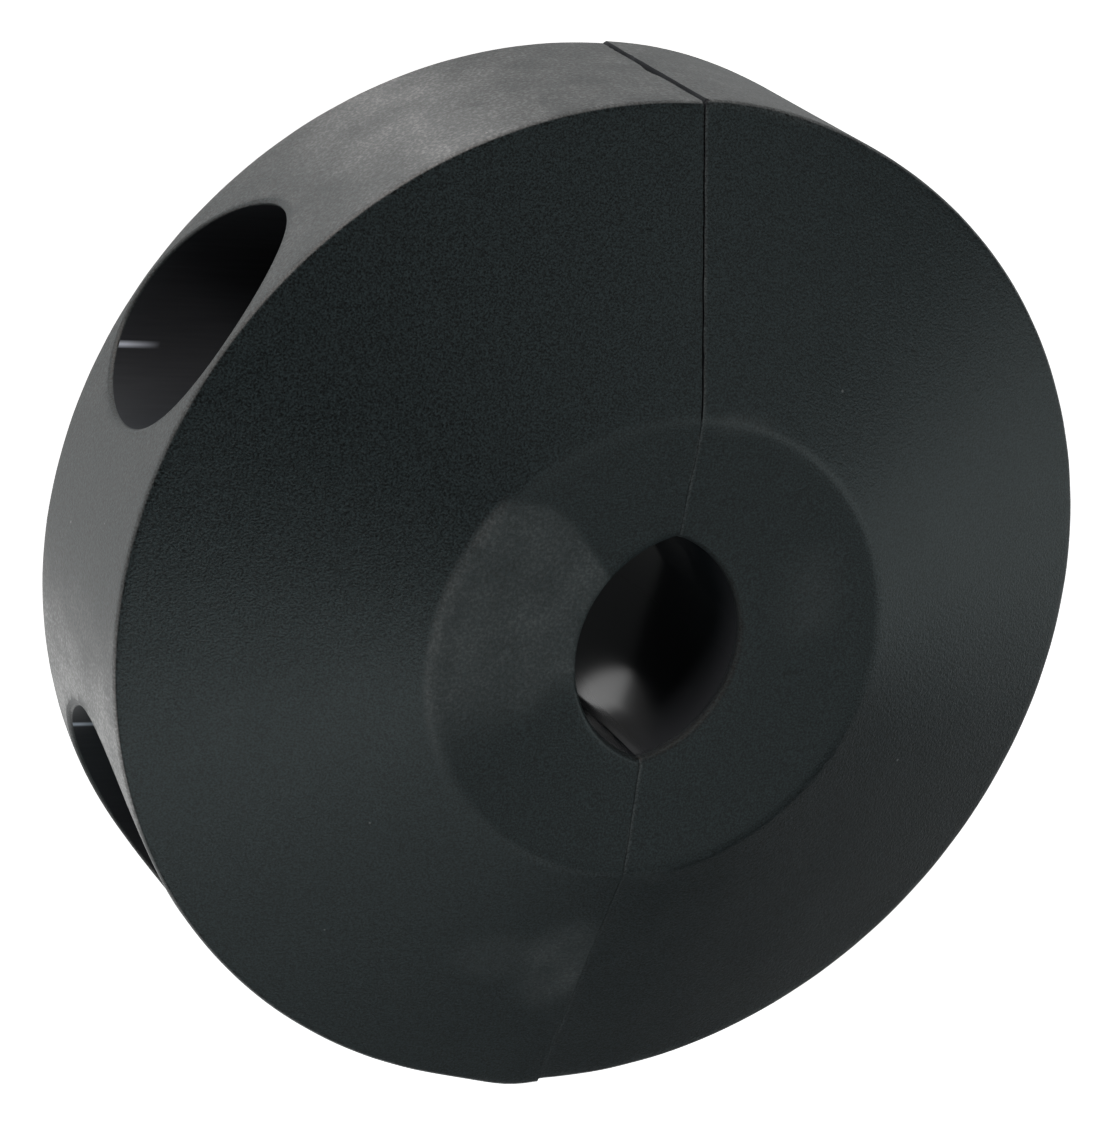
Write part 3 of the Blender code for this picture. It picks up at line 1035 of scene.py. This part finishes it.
def nut_stations(fastener, node_name):
    """Hex body with a threaded bore and a round collar rolled over the nylon ring."""
    low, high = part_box(node_name)
    turn = np.linspace(0, 2 * math.pi, fastener.sides, endpoint=False)
    hexagon_radii = hexagon(turn, fastener.across_flats)
    flat_radius = fastener.across_flats / 2
    hex_end = low.x + 6.1 * MM
    ring_seat = high.x - 2.8 * MM
    stations = []
    seat_chamfer, top_chamfer = 0.75 * MM, 0.6 * MM
    for share in np.linspace(0, 1, 5):
        cone = flat_radius * 0.97 + share * seat_chamfer * CHAMFER_SLOPE
        stations.append((low.x + share * seat_chamfer, np.minimum(hexagon_radii, cone)))
    for share in np.linspace(1, 0, 5):
        cone = flat_radius * 0.99 + share * top_chamfer * CHAMFER_SLOPE
        stations.append((hex_end - share * top_chamfer, np.minimum(hexagon_radii, cone)))
    # the collar rises from the hexagon with a small fillet, and its end is rolled inwards
    collar = 5.75 * MM
    stations += [(hex_end, collar + 0.35 * MM), (hex_end + 0.1 * MM, collar + 0.08 * MM)]
    stations += [(hex_end + 0.4 * MM, collar), (high.x - 1.0 * MM, collar)]
    rolled = 0.9 * MM
    for degrees in (25, 50, 70, 85):
        a = math.radians(degrees)
        x = high.x - rolled + rolled * math.sin(a)
        stations.append((x, collar - rolled + rolled * math.cos(a)))
    lip, ring_room = 4.7 * MM, 5.3 * MM
    stations += [(high.x, lip + 0.05 * MM), (high.x - 0.1 * MM, lip), (high.x - 0.28 * MM, lip)]
    stations += [(high.x - 0.3 * MM, ring_room), (ring_seat, ring_room)]
    bore_stations = []
    for x in np.arange(low.x + 0.02 * MM, ring_seat, fastener.pitch / THREAD_STEPS):
        phase = x / fastener.pitch - turn / (2 * math.pi)
        clearance = fastener.major_radius + fastener.nut_bore_clearance
        radii = clearance - fastener.thread_depth * thread_depth_share(phase)
        lead = clearance + 0.25 * MM - (x - low.x)
        top_lead = clearance + 0.2 * MM - (ring_seat - x)
        bore_stations.append((x, np.maximum(radii, np.maximum(lead, top_lead))))
    stations += reversed(bore_stations)
    return stations


def washer_stations(fastener, node_name):
    """Punched washer: one edge rounded by the die, the other with a small burr."""
    low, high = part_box(node_name)
    outer = box_size(node_name).y / 2
    bore = fastener.washer_bore
    burr = 0.02 * MM
    # round the outside: the rounded edge, the wall and the burr
    stations = [(low.x, outer - 0.35 * MM), (low.x + 0.06 * MM, outer - 0.12 * MM)]
    stations += [(low.x + 0.3 * MM, outer - 0.02 * MM), (high.x - 0.1 * MM, outer - 0.01 * MM)]
    stations += [(high.x, outer - 0.06 * MM), (high.x - burr, outer - 0.2 * MM)]
    # across the face and back through the bore
    stations += [(high.x - burr, bore + 0.9 * MM), (high.x, bore + 0.1 * MM)]
    stations += [(high.x - 0.1 * MM, bore), (low.x + 0.3 * MM, bore)]
    stations += [(low.x + 0.06 * MM, bore + 0.08 * MM), (low.x, bore + 0.3 * MM)]
    stations.append((low.x + 0.01 * MM, (bore + outer) / 2))
    return stations


def insert_stations(fastener, node_name):
    """Nylon ring with softened edges."""
    low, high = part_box(node_name)
    outer = box_size(node_name).y / 2
    bore = fastener.major_radius + fastener.nut_bore_clearance
    soft = 0.15 * MM
    stations = [(low.x, bore + soft), (low.x, outer - soft), (low.x + soft, outer)]
    stations += [(high.x - soft, outer), (high.x, outer - soft), (high.x, bore + soft)]
    stations += [(high.x - soft, bore), (low.x + soft, bore)]
    return stations


# ---------------------------------------------------------------- operators


class COLLAR_OT_halves(bpy.types.Operator):
    """Build the two moulded rubber halves with their bore, screw holes and split edges"""

    bl_idname = "collar.halves"
    bl_label = "Moulded halves"

    def execute(self, context):
        half = context.scene.collar.half
        look, cored = hard_black_rubber(half), cored_black_rubber(half)
        left_seed, right_seed = 3, 8
        moulded_half("left_half", half, "opening_side", left_seed, LEFT_PROUD, True, look, cored)
        moulded_half("right_half", half, "fixed_side", right_seed, RIGHT_PROUD, False, look, cored)
        return {"FINISHED"}


class COLLAR_OT_screws(bpy.types.Operator):
    """Build the two hex cap screws with rolled threads"""

    bl_idname = "collar.screws"
    bl_label = "Clamp screws"

    def execute(self, context):
        fastener = context.scene.collar.fastener
        look = bright_zinc_plate(fastener)
        for place in PLACES:
            name = f"{place}_clamp_screw"
            axis_y = box_middle(name).y
            screw = round_body(
                f"{place}_hex_screw", screw_stations(fastener, name), fastener.sides, axis_y, False
            )
            finish_mesh(screw, look, sharp_degrees=30)
            place_piece(screw, f"{place}_screw", "zinc_plated_steel", name)
        return {"FINISHED"}


class COLLAR_OT_washers(bpy.types.Operator):
    """Build the four flat washers"""

    bl_idname = "collar.washers"
    bl_label = "Washers"

    def execute(self, context):
        fastener = context.scene.collar.fastener
        look = bpy.data.materials["bright_zinc_plate"]
        for place in PLACES:
            for use, body in (("head", "opening_side"), ("nut", "fixed_side")):
                name = f"{place}_{use}_washer"
                axis_y = box_middle(name).y
                stations = washer_stations(fastener, name)
                washer = round_body(
                    f"{place}_{use}_flat_washer", stations, fastener.sides, axis_y, True
                )
                finish_mesh(washer, look, sharp_degrees=40)
                place_piece(washer, body, "zinc_plated_steel", name)
        return {"FINISHED"}


class COLLAR_OT_nuts(bpy.types.Operator):
    """Build the two lock nuts and their nylon rings"""

    bl_idname = "collar.nuts"
    bl_label = "Lock nuts"

    def execute(self, context):
        fastener = context.scene.collar.fastener
        zinc = bpy.data.materials["bright_zinc_plate"]
        nylon = natural_nylon(fastener)
        for place in PLACES:
            name = f"{place}_lock_nut"
            axis_y = box_middle(name).y
            nut = round_body(
                f"{place}_hex_lock_nut", nut_stations(fastener, name), fastener.sides, axis_y, True
            )
            finish_mesh(nut, zinc, sharp_degrees=30)
            place_piece(nut, "fixed_side", "zinc_plated_steel", name)
            ring_name = f"{place}_nut_insert"
            ring = round_body(
                f"{place}_nylon_ring", insert_stations(fastener, ring_name), fastener.sides, axis_y, True
            )
            finish_mesh(ring, nylon, sharp_degrees=30)
            place_piece(ring, "fixed_side", "natural_nylon", ring_name)
        return {"FINISHED"}


class COLLAR_OT_stage(bpy.types.Operator):
    """Set up the pale floor, the soft lights and the camera"""

    bl_idname = "collar.stage"
    bl_label = "Stage"

    def execute(self, context):
        stage = context.scene.collar.stage
        make_floor(stage)
        make_lights()
        make_camera(stage)
        return {"FINISHED"}


# How strongly the floor glows beside the collar, and across the painted pool of light under the bore on
# its near and far sides
BESIDE_GLOW, NEAR_GLOW, FAR_GLOW = 0.95, 0.05, 1.9
# Where the far part of the painted pool of light begins across the bore, and how far past the bore's wall
# it goes
FAR_START, FAR_FULL, POOL_EDGE = 5.0 * MM, 6.2 * MM, 2 * MM
# Distances over which the glow fades far from the collar, in metres, and what is left of it
FADE_START, FADE_END, FADED = 0.15, 0.40, 0.6


def floor_glow_with_painted_light(tree, place):
    """How strongly each place on the floor glows: beside the collar, fading to a painted shadow under it,
    and in a painted pool of light under its bore.
    """
    apart = node(tree, "ShaderNodeVectorMath", {0: place}, operation="LENGTH").outputs["Value"]
    # the glow fades out under the collar: a painted shadow
    beside = node(
        tree,
        "ShaderNodeMapRange",
        {
            "Value": apart,
            "From Min": OUTER_RADIUS * 0.5,
            "From Max": OUTER_RADIUS * 0.8,
            "To Max": BESIDE_GLOW,
        },
        interpolation_type="SMOOTHSTEP",
    ).outputs["Result"]
    # further out it glows less, or the cones would mirror it at low angles
    beyond = node(
        tree,
        "ShaderNodeMapRange",
        {
            "Value": apart,
            "From Min": FADE_START,
            "From Max": FADE_END,
            "To Min": 1.0,
            "To Max": FADED,
        },
    ).outputs["Result"]
    beside = node(tree, "ShaderNodeMath", {0: beside, 1: beyond}, operation="MULTIPLY").outputs[0]
    # a painted pool of light on the floor under the bore, bright on its far side
    across = node(tree, "ShaderNodeSeparateXYZ", {0: place}).outputs["Y"]
    painted_light_pool = node(
        tree,
        "ShaderNodeMapRange",
        {
            "Value": across,
            "From Min": FAR_START,
            "From Max": FAR_FULL,
            "To Min": NEAR_GLOW,
            "To Max": FAR_GLOW,
        },
    ).outputs["Result"]
    within_bore = node(
        tree,
        "ShaderNodeMapRange",
        {
            "Value": apart,
            "From Min": BORE_RADIUS,
            "From Max": BORE_RADIUS + POOL_EDGE,
            "To Min": 1,
            "To Max": 0,
        },
    ).outputs["Result"]
    painted_light_pool = node(tree, "ShaderNodeMath", {0: painted_light_pool, 1: within_bore}, operation="MULTIPLY").outputs[0]
    return node(tree, "ShaderNodeMath", {0: beside, 1: painted_light_pool}, operation="MAXIMUM").outputs[0]


def make_floor(stage):
    """A wide sheet of opal acrylic, lit a little from below so that no hard shadow falls on it; its glow
    holds a painted shadow under the collar and a painted pool of light under the bore.
    """
    made, tree, shader = new_material("opal_acrylic")
    place = node(tree, "ShaderNodeTexCoord").outputs["Object"]
    haze = node(tree, "ShaderNodeTexNoise", {"Vector": place, "Scale": 1 / (60 * MM)})
    tone = node(
        tree,
        "ShaderNodeMix",
        {"Factor": haze.outputs["Fac"], "A": rgba(stage.floor), "B": rgba(stage.floor_haze)},
        data_type="RGBA",
    )
    tree.links.new(tone.outputs["Result"], shader.inputs["Base Color"])
    shader.inputs["Roughness"].default_value = 0.6
    shader.inputs["Emission Color"].default_value = rgba(linear("#ffffff"))
    tree.links.new(floor_glow_with_painted_light(tree, place), shader.inputs["Emission Strength"])
    half_side = 4.0
    corners = [(x * half_side, y * half_side, 0) for x, y in ((-1, -1), (1, -1), (1, 1), (-1, 1))]
    mesh = bpy.data.meshes.new("floor")
    mesh.from_pydata(corners, [], [(0, 1, 2, 3)])
    mesh.materials.append(made)
    floor = new_object("floor", mesh)
    floor.location.z = -HALF_THICKNESS


# Soft boxes 1 m from the collar: azimuth and elevation in degrees, width and height in metres,
# the brightness of their fronts, and their colour
WARM, COOL = "#fff4ee", "#f0ffff"
SOFT_BOXES = {
    "rim_strip": (124, 12, 0.9, 0.38, 6.1, WARM),
    "low_left": (210, 10, 0.5, 0.30, 3.7, WARM),
    "right_key": (352, 31, 0.46, 0.94, 0.76, COOL),
    "hub_fill": (323, 58, 0.35, 0.35, 0.20, COOL),
    "left_tall": (237, 60, 0.16, 0.80, 1.6, COOL),
    "front_wide": (270, 46, 0.95, 0.76, 0.56, COOL),
    "overhead_fill": (22, 64, 0.80, 1.05, 0.40, COOL),
}


def soft_box(name, azimuth, elevation, width, height, brightness, tint):
    """A rectangular area light that faces the collar from 1 m away."""
    light = bpy.data.lights.new(name, "AREA")
    light.shape = "RECTANGLE"
    light.size, light.size_y = width, height
    light.energy = brightness * math.pi * width * height
    light.color = linear(tint)
    made = new_object(name, light)
    a, e = math.radians(azimuth), math.radians(elevation)
    back = Vector((math.cos(a) * math.cos(e), math.sin(a) * math.cos(e), math.sin(e)))
    made.location = back
    made.rotation_euler = back.to_track_quat("Z", "Y").to_euler()


def make_lights():
    """A nearly dark surround, with soft boxes that give the surfaces their reflections."""
    world = bpy.data.worlds.new("soft_surround")
    world.use_nodes = True
    surround = world.node_tree.nodes["Background"]
    surround.inputs["Color"].default_value = rgba(linear("#ffffff"))
    surround.inputs["Strength"].default_value = 0.01
    bpy.context.scene.world = world
    for name, settings in SOFT_BOXES.items():
        soft_box(name, *settings)


# Where the camera stands, in outer radii from a point 10 mm above the middle of the bore
CAMERA_PLACE = (-3.18508, 2.37551, 5.96171)
CAMERA_BASE = Vector((0, 0, 10 * MM))
# The camera's own directions as unit vectors: it looks at the collar obliquely, and rolled
CAMERA_RIGHT = Vector((0.902619332, 0.153809346, 0.402021177))
CAMERA_UP = Vector((-0.000419633, 0.934291899, -0.356508724))
CAMERA_BACK = Vector((-0.430439503, 0.321622965, 0.843374473))
SENSOR_WIDTH = 36


def make_camera(stage):
    camera = bpy.data.cameras.new("camera")
    camera.lens = stage.lens
    camera.sensor_width = SENSOR_WIDTH
    made = new_object("camera", camera)
    turned = Matrix((CAMERA_RIGHT, CAMERA_UP, CAMERA_BACK)).transposed().to_4x4()
    place = Vector(CAMERA_PLACE) * OUTER_RADIUS + CAMERA_BASE
    made.matrix_world = Matrix.Translation(place) @ turned
    bpy.context.scene.camera = made
    bpy.context.scene.view_settings.view_transform = "Standard"


class COLLAR_PT_panel(bpy.types.Panel):
    """Lists the pieces of the collar and their settings"""

    bl_idname = "COLLAR_PT_panel"
    bl_label = "Split clamp collar"
    bl_space_type = "VIEW_3D"
    bl_region_type = "UI"
    bl_category = "Collar"

    def draw(self, context):
        settings = context.scene.collar
        for operator in OPERATORS:
            self.layout.operator(operator.bl_idname)
        for group in (settings.half, settings.fastener, settings.stage):
            box = self.layout.box()
            for name in group.bl_rna.properties.keys():
                if name not in ("name", "rna_type"):
                    box.prop(group, name)


OPERATORS = (
    COLLAR_OT_stage,
    COLLAR_OT_halves,
    COLLAR_OT_screws,
    COLLAR_OT_washers,
    COLLAR_OT_nuts,
)
SETTINGS = (HalfSettings, FastenerSettings, StageSettings, CollarSettings)
CLASSES = (*SETTINGS, *OPERATORS, COLLAR_PT_panel)


def register():
    for one in CLASSES:
        bpy.utils.register_class(one)
    bpy.types.Scene.collar = PointerProperty(type=CollarSettings)


def unregister():
    del bpy.types.Scene.collar
    for one in reversed(CLASSES):
        bpy.utils.unregister_class(one)


def main():
    register()
    for operator in OPERATORS:
        group, name = operator.bl_idname.split(".")
        getattr(getattr(bpy.ops, group), name)()


if __name__ == "__main__":
    main()
